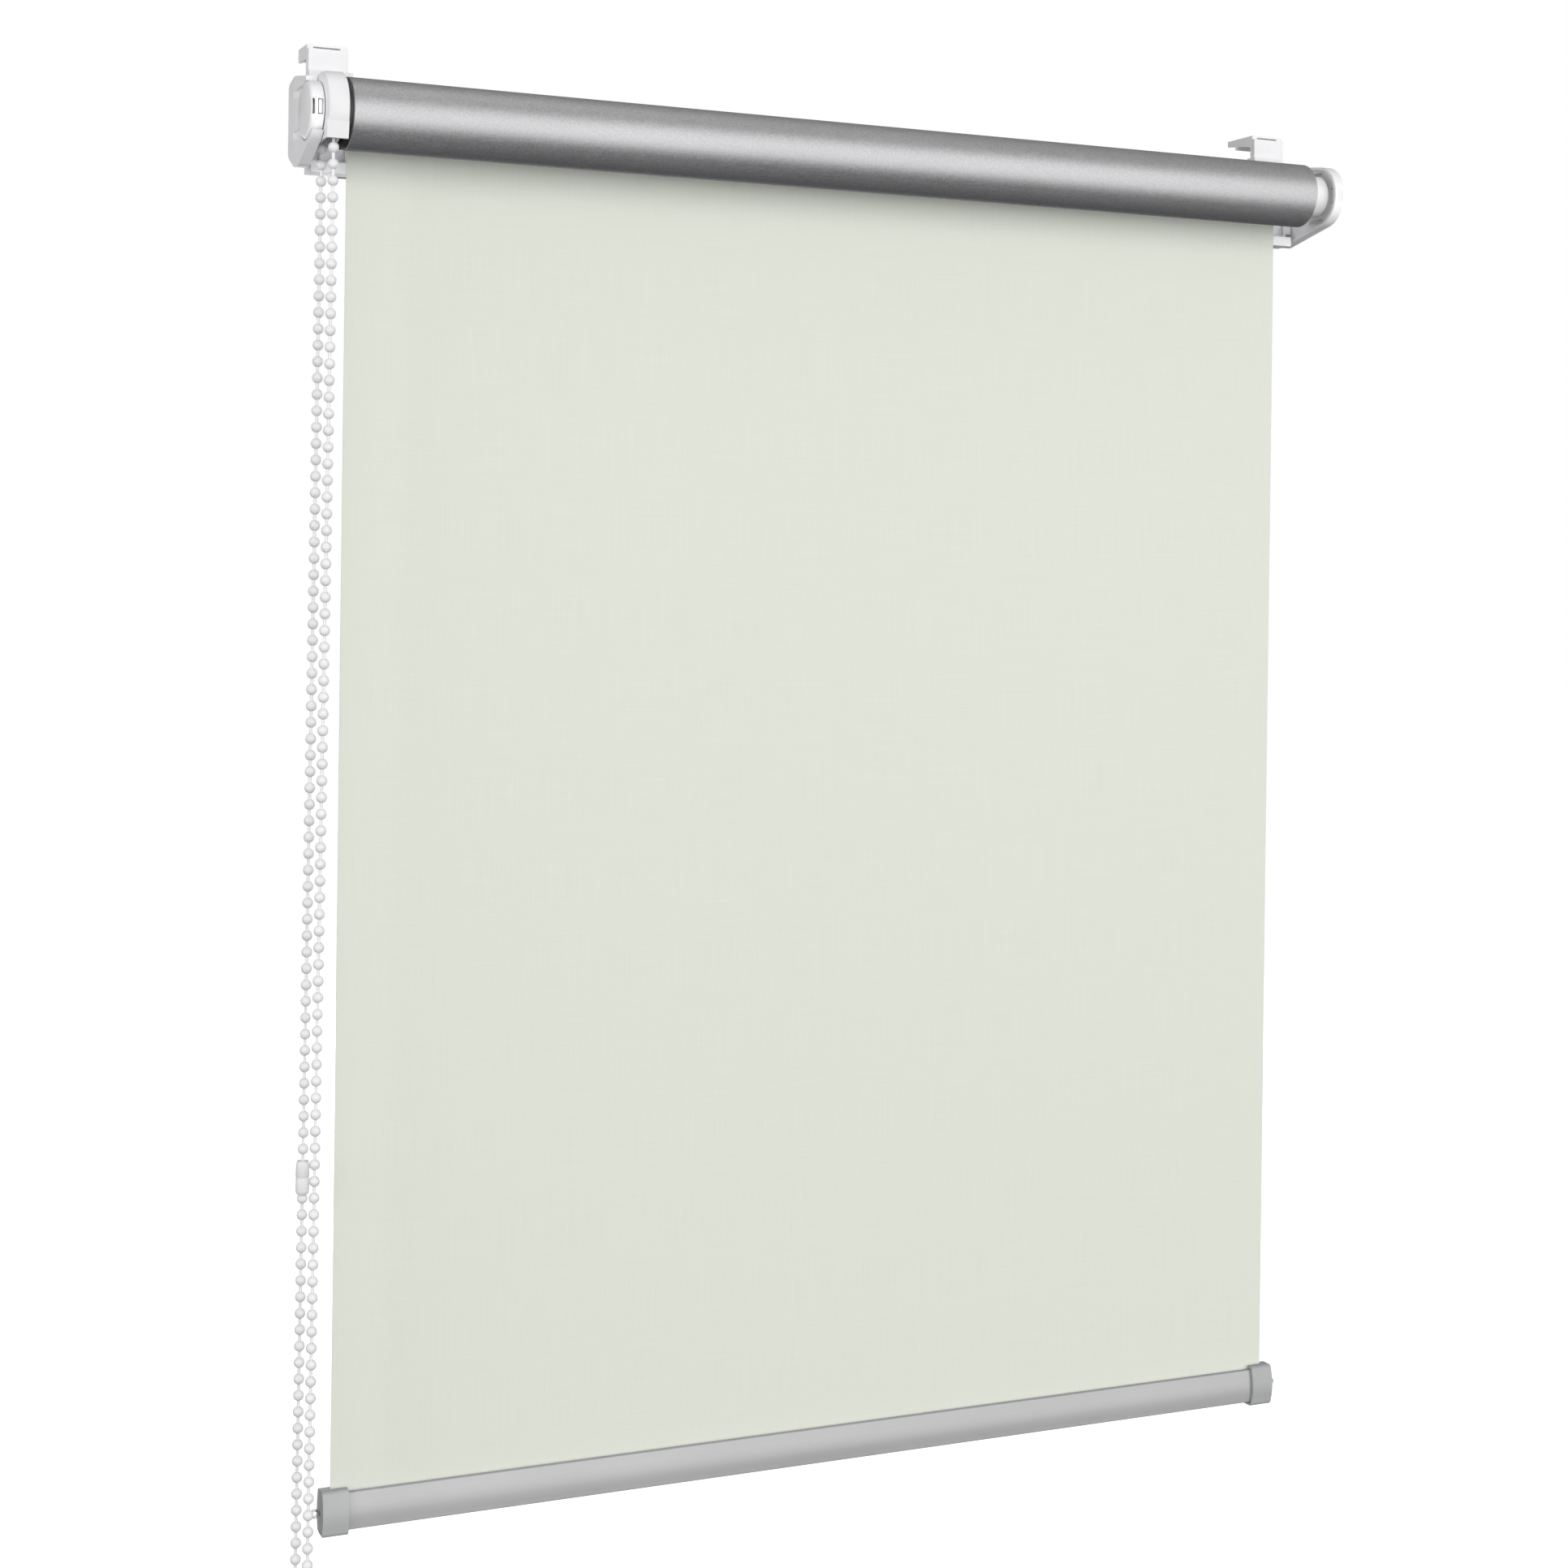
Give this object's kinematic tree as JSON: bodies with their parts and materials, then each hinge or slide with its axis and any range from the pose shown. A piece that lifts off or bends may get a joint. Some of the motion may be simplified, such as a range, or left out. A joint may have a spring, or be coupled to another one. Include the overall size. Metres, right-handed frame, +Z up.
{
  "type": "roller blind",
  "caption": "Clamp-on roller blind: two hook brackets, chain-driven fabric roll, hanging coated fabric sheet, metal bottom bar with end caps, and a bead chain loop.",
  "frame": {"origin": "on the face of the window sash that the brackets' pads rest against, at the height of the roller's axis, midway between the brackets", "axes": "+X along the roller to the idle end, +Y towards the window, +Z up"},
  "size_m": [0.4472, 0.0594, 0.6811],
  "materials": {
    "white_plastic": "satin moulded white",
    "chain_plastic": "satin white beads on a cord",
    "black_plastic": "moulded black",
    "grey_plastic": "moulded mid grey",
    "silver_coating": "metallised silver coating, fine sparkle",
    "cream_fabric": "fine plain weave, cream in front and silver coated behind",
    "bar_aluminium": "satin anodised",
    "tube_aluminium": "mill finish",
    "steel": "plain bright steel",
    "sash_pad": "foam pad"
  },
  "bodies": {
    "brackets": {"left_bracket": "white_plastic", "right_bracket": "white_plastic", "bearing_cap": "white_plastic", "chain_guard": "white_plastic", "clutch_post": "white_plastic", "idle_bush": "black_plastic", "left_sash_pad": "sash_pad", "right_sash_pad": "sash_pad", "wrap_spring_1": "steel", "wrap_spring_2": "steel", "fabric_sheet": "cream_fabric", "chain_loop": "chain_plastic", "chain_over_wheel": "chain_plastic"},
    "roller": {"chain_wheel": "white_plastic", "drive_plug": "black_plastic", "roller_tube": "tube_aluminium", "fabric_fixing_strip": "white_plastic", "fabric_roll": "silver_coating", "idle_plug": "white_plastic", "idle_spring": "steel"},
    "idle_pin": {"idle_pin": "steel"},
    "bar": {"bottom_bar": "bar_aluminium", "hem_rod": "white_plastic", "left_end_cap": "grey_plastic", "right_end_cap": "grey_plastic", "left_eyelet": "steel", "right_eyelet": "steel"},
    "connector": {"chain_connector": "chain_plastic"},
    "left_hook": {"left_clamp_hook": "white_plastic", "left_clamp_nut": "steel"},
    "right_hook": {"right_clamp_hook": "white_plastic", "right_clamp_nut": "steel"},
    "left_screw": {"left_clamp_screw": "steel"},
    "right_screw": {"right_clamp_screw": "steel"}
  },
  "joints": [
    {"name": "bar_lift", "type": "slide", "parent": "brackets", "child": "bar", "axis": [0, 0, 1], "range_m": [0, 0.47124], "deforming": ["fabric_sheet"]},
    {"name": "roller_spin", "type": "hinge", "parent": "brackets", "child": "roller", "pos_m": [0, -0.0282, 0], "axis": [1, 0, 0], "range_deg": [0, 2001]},
    {"name": "connector_travel", "type": "slide", "parent": "brackets", "child": "connector", "axis": [0.0063, 0, 1], "range_m": [0, 0.30638]},
    {"name": "idle_pin_slide", "type": "slide", "parent": "roller", "child": "idle_pin", "axis": [1, 0, 0], "range_m": [-0.005, 0], "stiffness_N_per_m": 200, "springref_m": 0.002, "deforming": ["idle_spring"]},
    {"name": "left_hook_slide", "type": "slide", "parent": "brackets", "child": "left_hook", "axis": [0, 0, 1], "range_m": [0, 0.0056]},
    {"name": "left_screw_turn", "type": "hinge", "parent": "brackets", "child": "left_screw", "pos_m": [-0.2097, -0.0045, 0], "axis": [0, 0, 1], "range_deg": [0, 2881]},
    {"name": "right_hook_slide", "type": "slide", "parent": "brackets", "child": "right_hook", "axis": [0, 0, 1], "range_m": [0, 0.0056]},
    {"name": "right_screw_turn", "type": "hinge", "parent": "brackets", "child": "right_screw", "pos_m": [0.2097, -0.0045, 0], "axis": [0, 0, 1], "range_deg": [0, 2881]}
  ],
  "couplings": [
    {"joint": "roller_spin", "follows": "bar_lift", "rad_per_m": 74.074},
    {"joint": "connector_travel", "follows": "bar_lift", "ratio": 0.64973},
    {"joint": "left_screw_turn", "follows": "left_hook_slide", "rad_per_m": 8976},
    {"joint": "right_screw_turn", "follows": "right_hook_slide", "rad_per_m": 8976}
  ]
}
